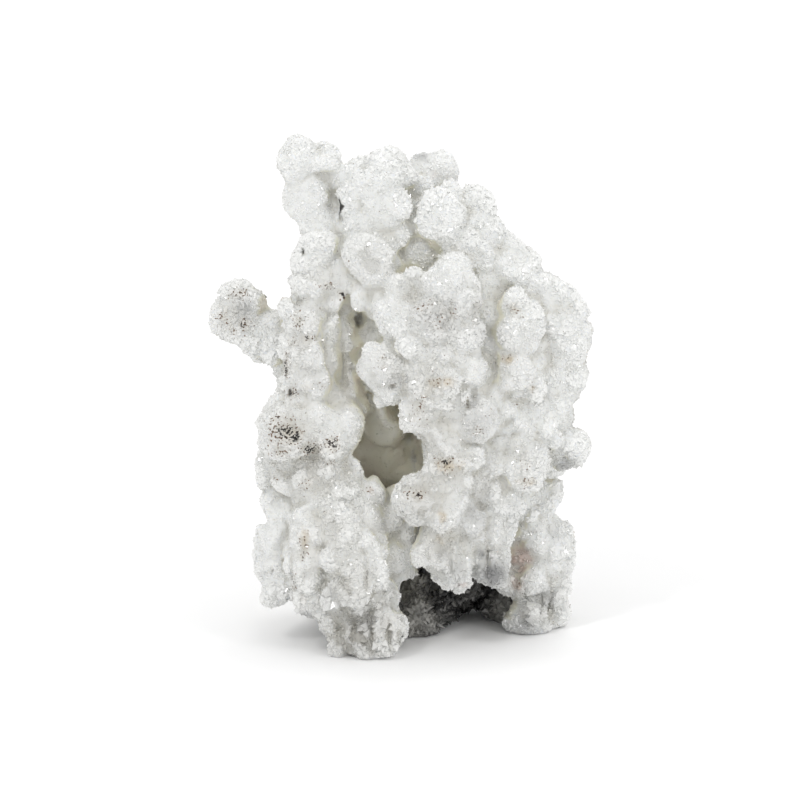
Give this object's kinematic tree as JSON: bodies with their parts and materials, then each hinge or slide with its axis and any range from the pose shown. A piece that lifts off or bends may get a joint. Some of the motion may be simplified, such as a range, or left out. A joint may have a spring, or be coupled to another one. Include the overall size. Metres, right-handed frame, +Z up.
{
  "type": "cave aragonite cluster specimen",
  "caption": "Free-standing mineral specimen: white knobbly coral-like aragonite fingers fused into one upright mass on a piece of dark grey rock, cut flat below to stand.",
  "frame": {"origin": "on the surface it stands on, below the middle of the bounding box", "axes": "+Z up, -Y towards the viewer of the display side, +X to that viewer's right"},
  "size_m": [0.095, 0.068, 0.1259],
  "materials": {
    "aragonite": "milky white, sugar-grained and glittering",
    "grey_rock": "dark grey, rough and crystalline"
  },
  "bodies": {
    "root": {"aragonite_crust": "aragonite", "matrix_rock": "grey_rock"}
  },
  "joints": []
}
